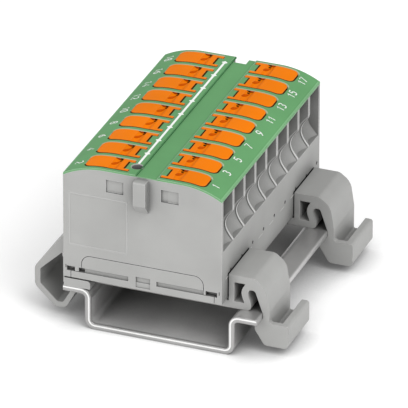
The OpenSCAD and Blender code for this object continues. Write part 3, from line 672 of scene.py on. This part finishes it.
NOTCH_Y = 1.5 * MM
NOTCH_HALF = 0.19 * MM
NOTCH_OUTLINE = ((-1.0, 0.3), (-0.6, -1.0), (0.8, -0.8), (1.6, 1.0), (0.0, 1.2))
MOON_DX = {1: 0.1 * MM, -1: 0.54 * MM}
MOON_Y = 0.45 * MM
MOON_RUN = Vector((0.42 * MM, 0.85 * MM))
MOON_W = 0.5 * MM
MOON_TIP = 0.25
MOON_STEP = 0.1 * MM
MOON_STRIPS = 8
SPOT_IN = 0.1 * MM
SPOT_Y = 1.72 * MM
SPOT_HALF = 0.16 * MM


def make_cap_crescent(name, body, x, y, height):
    """Painted shade: the dark crescent in the driver's groove of one cap, thin at both ends."""
    bm = bmesh.new()
    middle = Vector((x, y + MOON_Y))
    spots = straight(middle - MOON_RUN, middle + MOON_RUN, MOON_STEP)
    count = len(spots) - 1
    widths = [MOON_W * (MOON_TIP + (1.0 - MOON_TIP) * math.sin(math.pi * k / count))
              for k in range(count + 1)]
    add_ribbon(bm, spots, widths, height, 2 * LIFT, MOON_STRIPS)
    finish_piece(name, bm, CRESCENT_SHADE, body)


def make_cap_notches(name, body, x, y, height):
    """Painted shade in the two notches at the ends of one cap's groove."""
    bm = bmesh.new()
    rear = [(x + u * NOTCH_HALF, y + NOTCH_Y + v * NOTCH_HALF) for u, v in NOTCH_OUTLINE]
    add_patch(bm, rear, height, 2 * LIFT)
    add_patch(bm, diamond(x - SPOT_IN, y - SPOT_Y, SPOT_HALF, SPOT_HALF), height, 2 * LIFT)
    finish_piece(name, bm, SHADE, body)


# painted shade on one cap: its crescent and its notches
def make_cap_marks(i, word, side):
    body = "button_%s_%d" % (word, i)
    height = surface(body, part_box(body)[1][2] - 2 * LIFT)
    x, y = MIDDLE_X + side * NOTCH_X, row_y(i)
    make_cap_crescent("cap_crescent_%s_%d" % (word, i), body, x - MOON_DX[side], y, height)
    make_cap_notches("cap_notches_%s_%d" % (word, i), body, x, y, height)


GROOVE_X = 5.77 * MM
GROOVE_HALF = 0.8 * MM
GROOVE_D = 0.36 * MM
GROOVE_CUTS = 4
GROOVE_LEAST = 0.02
GROOVE_END_T = 0.03 * MM
GROOVE_SHADE_T = 0.05 * MM


def add_groove_end(bm, side, y, out, half, thick):
    """A thin plate on an opening's rear edge, at each place as high as the groove is deep."""
    rims = []
    for k in range(-GROOVE_CUTS, GROOVE_CUTS + 1):
        from_middle = side * out + half * k / GROOVE_CUTS
        share = (from_middle - side * GROOVE_X) / GROOVE_HALF
        x = MIDDLE_X + from_middle
        top = crown(x)
        low = top - GROOVE_D * math.sqrt(max(GROOVE_LEAST, 1.0 - share * share))
        rims.append([bm.verts.new((x, at, z))
                     for at, z in ((y - thick, top), (y - thick, low), (y, low), (y, top))])
    join_rings(bm, rims)


def make_groove_ends():
    """Painted shade where the driver's groove of each cap meets the rear edge of its opening."""
    warm_shade, dark = bmesh.new(), bmesh.new()
    for i in ROW_IDS:
        y = row_y(i) + CAP_HALF + GAP
        for side in SIDES.values():
            add_groove_end(warm_shade, side, y, GROOVE_X, GROOVE_HALF, GROOVE_END_T)
            add_groove_end(dark, side, y, NOTCH_X, NOTCH_HALF, GROOVE_SHADE_T)
    finish_piece("groove_end_warm_shades", warm_shade, CRESCENT_SHADE, "block")
    finish_piece("groove_end_shades", dark, SHADE, "block")


# painted shade in the gaps round the caps
DARK_W = 0.32 * MM
DARK_LOSS = 0.55
DARK_LOSS_SHARE = 1.0 / 3.0
# the painted highlight on the rear edge of each opening
PALE_OUT = 0.27 * MM
PALE_W = 0.36 * MM
PALE_START = 70
PALE_END = 20
PALE_STEPS = 2


def inner_gap():
    """The inner end of an opening, between the cap's two tails."""
    return straight((CAP_IN - GAP, TAIL_W - CAP_HALF), (CAP_IN - GAP, CAP_HALF - TAIL_W))


def front_gap(side):
    """The front edge of an opening and its outer corner, and on the right the outer end too."""
    corner_x = CAP_OUT - CAP_R
    reach = CAP_R + GAP
    corner = arc(corner_x, CAP_R - CAP_HALF, reach, reach, 0, -90)
    outer = [(CAP_OUT + GAP, CAP_HALF - CAP_R)] + corner if side > 0 else corner[1:]
    return outer + straight((corner_x, -CAP_HALF - GAP), (TAIL_IN, -CAP_HALF - GAP))[1:]


def rear_edge():
    """The rear edge of an opening and its rounded outer corner."""
    corner_x = CAP_OUT - CAP_R
    reach = CAP_R + PALE_OUT
    edge = straight((TAIL_IN, CAP_HALF + PALE_OUT), (corner_x, CAP_HALF + PALE_OUT))
    return edge + arc(corner_x, CAP_HALF - CAP_R, reach, reach, PALE_START, PALE_END, PALE_STEPS)


def make_gap_lines():
    """Painted shade in the gaps round the caps, and painted highlights on the rear edges of the
    openings.
    """
    dark, pale = bmesh.new(), bmesh.new()
    for i in ROW_IDS:
        y = row_y(i)
        for side in SIDES.values():
            add_ribbon(dark, on_side(inner_gap(), side, y), DARK_W)
            path = on_side(front_gap(side), side, y)
            thin_run = (len(path) - 1) * DARK_LOSS_SHARE
            add_ribbon(dark, path, [DARK_W * (1.0 - DARK_LOSS * min(1.0, k / thin_run))
                                    for k in range(len(path))])
            add_ribbon(pale, on_side(rear_edge(), side, y), PALE_W)
    finish_piece("gap_shade_lines", dark, SHADE, "block")
    finish_piece("opening_edge_highlights", pale, OPENING_HIGHLIGHT, "block")


# Edges, front face and walls of the block: painted highlights, painted shade and raised dashes

EDGE_IN = 0.2 * MM
EDGE_W = 0.22 * MM


def make_cover_edges():
    """Painted highlights along the rounded edges on both sides of the cover."""
    bm = bmesh.new()
    for x in (COVER[1][0] - EDGE_IN, COVER[0][0] + EDGE_IN):
        add_ribbon(bm, [(x, COVER[0][1]), (x, COVER[1][1])], EDGE_W)
    finish_piece("cover_edge_highlights", bm, EDGE_HIGHLIGHT_GREEN, "block")


LABEL_LEFT = HOUSING[0][0] + 0.95 * MM
LABEL_LOW = HOUSING[0][2] + 6.25 * MM
LABEL_W = 10.7 * MM
LABEL_H = 10.05 * MM
LABEL_HIGHLIGHT_W = 0.34 * MM


def make_label_lines():
    """A painted highlight over the groove that frames the label field, just proud of the front face."""
    bm = bmesh.new()
    front = COVER[0][1]
    rings = []
    for inset, y in ((0.0, front - LIFT / 2), (LABEL_HIGHLIGHT_W, front - LIFT / 2),
                     (LABEL_HIGHLIGHT_W, front + LIFT), (0.0, front + LIFT)):
        x0, x1 = LABEL_LEFT + inset, LABEL_LEFT + LABEL_W - inset
        z0, z1 = LABEL_LOW + inset, LABEL_LOW + LABEL_H - inset
        rings.append([bm.verts.new((x, y, z))
                      for x, z in ((x0, z0), (x1, z0), (x1, z1), (x0, z1))])
    join_rings(bm, rings, closed=True)
    finish_piece("label_lines", bm, LABEL_HIGHLIGHT, "block")


CREST_LOW = 19.1 * MM
CREST_HIGH = 25.6 * MM
CREST_STEP = 0.3 * MM
CREST_HALF_W = 0.15 * MM
CREST_TAIL_W = 0.2 * MM
CREST_UP = 0.05 * MM
RAY_OUT = 5.0 * MM


def make_crests():
    """Painted highlights on the rounded crests between neighbouring funnels, on both sides, wider at
    the foot.
    """
    bm = bmesh.new()
    tree = node_tree("housing")
    for side in SIDES.values():
        ray_x = MIDDLE_X + side * (HOUSING[1][0] - MIDDLE_X + RAY_OUT)
        for i in ROW_IDS[:-1]:
            y = (row_y(i) + row_y(i + 1)) / 2
            rings = []
            for k in range(round((CREST_HIGH - CREST_LOW) / CREST_STEP) + 1):
                z = CREST_LOW + k * CREST_STEP
                x = tree.ray_cast(Vector((ray_x, y, z)), Vector((-side, 0.0, 0.0)))[0].x
                depth = (CREST_HIGH - z) / (CREST_HIGH - CREST_LOW)
                half = CREST_HALF_W + CREST_TAIL_W * depth ** 2
                rings.append([bm.verts.new((x + side * CREST_UP, y, z)),
                              bm.verts.new((x - side * CREST_UP, y - half, z)),
                              bm.verts.new((x - side * CREST_UP, y + half, z))])
            join_rings(bm, rings)
    finish_piece("funnel_crest_highlights", bm, CREST_HIGHLIGHT_GREY, "block")


SLIT_HALF = 0.03 * MM
SLIT_IN = 0.08 * MM
SLIT_UP = 0.6 * MM


def make_slit_shades():
    """The deep shade in the narrow slit between each clip foot and the right-hand wall."""
    bm = bmesh.new()
    x = HOUSING[1][0]
    for word in ("front", "rear"):
        low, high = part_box("flexure_" + word)
        add_bevelled_box(bm, (x - SLIT_HALF, low[1] + SLIT_IN, low[2] + SLIT_UP),
                         (x + SLIT_HALF, high[1] - SLIT_IN, high[2] + SLIT_IN), SLIT_HALF / 2)
    finish_piece("slit_shades", bm, SLIT_SHADE, "block")


DASH_Z = 13.3 * MM
DASH_L = 1.9 * MM
DASH_H = 0.14 * MM
DASH_HALF = 0.03 * MM


def make_wall_dashes():
    """The fine raised dashes between the dimples of the right-hand wall, in the pale grey of the
    painted crest highlights.
    """
    bm = bmesh.new()
    x = HOUSING[1][0]
    for i in ROW_IDS:
        y = row_y(i)
        add_bevelled_box(bm, (x - DASH_HALF, y - DASH_L / 2, DASH_Z - DASH_H / 2),
                         (x + DASH_HALF, y + DASH_L / 2, DASH_Z + DASH_H / 2), DASH_HALF / 2)
    finish_piece("wall_dashes", bm, CREST_HIGHLIGHT_GREY, "block")


# Front end of the rail: a painted highlight, and the rest at the front

SHEET_T = 1.0 * MM
WEB_X = 13.0 * MM
BEND_R = 0.8 * MM
RIM_OFF = 0.2 * MM
RIM_W = 0.3 * MM
RIM_UP = 0.02 * MM


def rim_path():
    """The line in the rail's front face that follows the inner side of the bent sheet."""
    middle = BEND_R + SHEET_T / 2
    outer, inner = middle + RIM_OFF, middle - RIM_OFF
    flange = RAIL_H * MM - SHEET_T / 2 - middle
    points = [(-RAIL_HALF * MM + RIM_UP, flange + outer)]
    points += arc(-WEB_X - middle, flange, outer, outer, 90, 0)
    points += arc(-WEB_X + middle, SHEET_T / 2 + middle, inner, inner, 180, 270)
    return points + [(-x, z) for x, z in points[::-1]]


def make_rail_rim():
    """A painted highlight: the bright line along the inner edge of the rail's front end."""
    bm = bmesh.new()
    face = -HALF_L * MM
    path = [Vector(p) for p in rim_path()]
    rings = []
    for k, p in enumerate(path):
        run = path[min(k + 1, len(path) - 1)] - path[max(k - 1, 0)]
        across = Vector((-run.y, run.x)).normalized() * RIM_W / 2
        rings.append([bm.verts.new((q.x, y, q.y))
                      for q, y in ((p + across, face + RIM_UP), (p + across, face - RIM_UP / 2),
                                   (p, face - RIM_UP), (p - across, face - RIM_UP / 2),
                                   (p - across, face + RIM_UP))])
    join_rings(bm, rings)
    finish_piece("rail_rim_highlight", bm, RIM_HIGHLIGHT, "block")


REST_LEFT = HOUSING[0][0] + 0.05 * MM
REST_RIGHT = -12.6 * MM
REST_TOP = 9.0 * MM
REST_R = 0.5 * MM
REST_DEPTH = 2.7 * MM


def make_rail_rest():
    """The small rest between the rail's left flange and the block, at the front."""
    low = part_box("rail_section")[1][2]
    outline = [(REST_LEFT, low), (REST_RIGHT, low)]
    outline += arc(REST_RIGHT - REST_R, REST_TOP - REST_R, REST_R, REST_R, 0, 90)
    outline += [(REST_LEFT, REST_TOP)]
    bm = bmesh.new()
    front = COVER[0][1]
    join_rings(bm, [[bm.verts.new((x, y, z)) for x, z in outline] for y in (front, front + REST_DEPTH)])
    finish_piece("rail_rest", bm, GREY, "block")


# Springs, as copies that stand in for their CAD objects

PIVOTS = {joint["name"]: Vector(joint["pos_m"])
          for joint in frame["record"]["behaviour"]["joints"] if "pos_m" in joint}
BEND_RUN = 1.18 * MM
BEND_TILT = math.radians(10.0)
BEND_CUTS = 9


def make_spring_band(word):
    """A copy of a clip's band and crown, cut finely across the bend, standing in for the CAD object."""
    node, body = "flexure_" + word, "latch_" + word
    end = PIVOTS["latch_%s_hinge" % word]
    run = Vector((math.cos(BEND_TILT), 0.0, math.sin(BEND_TILT))) * BEND_RUN
    bm = copy_node(node)
    for k in range(BEND_CUTS + 1):
        bmesh.ops.bisect_plane(bm, geom=bm.verts[:] + bm.edges[:] + bm.faces[:],
                               plane_co=end - run * k / BEND_CUTS, plane_no=run)
    band = finish_piece("spring_band_" + word, bm, MOULDING, None)
    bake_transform(band)
    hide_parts(node)


def make_spring_leaf(i, word):
    """A copy of the clamp spring under one button, riding on the block, standing in for the CAD object.
    """
    node = "clamp_%s_%d" % (word, i)
    leaf = finish_piece("spring_leaf_%s_%d" % (word, i), copy_node(node), SPRING, "block")
    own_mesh(leaf)
    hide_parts(node)


make_label_lines()
make_cover_edges()
make_crests()
make_slit_shades()
make_wall_dashes()
make_rail_rest()
make_rail_rim()
make_numbers()
make_mark_line()
make_groove_step()
make_hole_sleeve()
for row in ROW_IDS:
    for word, side in SIDES.items():
        make_cap_marks(row, word, side)
        make_spring_leaf(row, word)
make_spring_band("front")
make_spring_band("rear")
make_groove_ends()
make_gap_lines()


# Floor, light and world

FLOOR_HALF = 6.0
FLOOR_DROP = 0.02 * MM
FLOOR_ROUGH = 0.9
# painted contact shadow: the floor's colour and glow drop where little around it is open
CONTACT_SHADOW_REACH_MM = 9.0
CONTACT_SHADOW_SPAN = (0.0, 0.9)
FLOOR_SHADOW_TONE = (0.12, 0.77)
FLOOR_SHADOW_GLOW = (0.04, 0.32)
WHITE = (1.0, 1.0, 1.0, 1.0)
WORLD_STRENGTH = 0.54
LIGHT_TARGET = Vector((0.0, 0.0, 0.015))


def make_floor():
    """A pale glowing floor just under the object, with a painted contact shadow: darker near what
    stands on it.
    """
    corners = [(-FLOOR_HALF, -FLOOR_HALF, 0.0), (FLOOR_HALF, -FLOOR_HALF, 0.0),
               (FLOOR_HALF, FLOOR_HALF, 0.0), (-FLOOR_HALF, FLOOR_HALF, 0.0)]
    mesh = bpy.data.meshes.new("floor")
    mesh.from_pydata(corners, [], [(0, 1, 2, 3)])
    obj = add_object("floor", mesh)
    obj.location.z = -FLOOR_DROP
    mat = bpy.data.materials.new("floor")
    mat.use_nodes = True
    nt = mat.node_tree
    bsdf = nt.nodes["Principled BSDF"]
    bsdf.inputs["Roughness"].default_value = FLOOR_ROUGH
    bsdf.inputs["Specular IOR Level"].default_value = 0.0
    bsdf.inputs["Emission Color"].default_value = WHITE
    contact_shadow = openness(nt, CONTACT_SHADOW_REACH_MM)
    for span, socket in ((FLOOR_SHADOW_TONE, "Base Color"), (FLOOR_SHADOW_GLOW, "Emission Strength")):
        nt.links.new(spread(nt, contact_shadow, CONTACT_SHADOW_SPAN, span), bsdf.inputs[socket])
    mesh.materials.append(mat)


def make_light(name, size, power, place):
    """A square soft box that faces the object."""
    data = bpy.data.lights.new(name, "AREA")
    data.shape = "SQUARE"
    data.size = size
    data.energy = power
    obj = add_object(name, data)
    obj.location = place
    obj.rotation_euler = (LIGHT_TARGET - Vector(place)).to_track_quat("-Z", "Y").to_euler()


def make_world():
    world = bpy.data.worlds.new("studio")
    bpy.context.scene.world = world
    world.use_nodes = True
    background = world.node_tree.nodes["Background"]
    background.inputs["Color"].default_value = WHITE
    background.inputs["Strength"].default_value = WORLD_STRENGTH


make_floor()
make_world()
make_light("key", size=0.5, power=2.65, place=(-0.25, -0.7, 0.45))
make_light("fill", size=0.6, power=5.6, place=(0.55, -0.3, 0.7))
bpy.context.scene.view_settings.view_transform = "Standard"
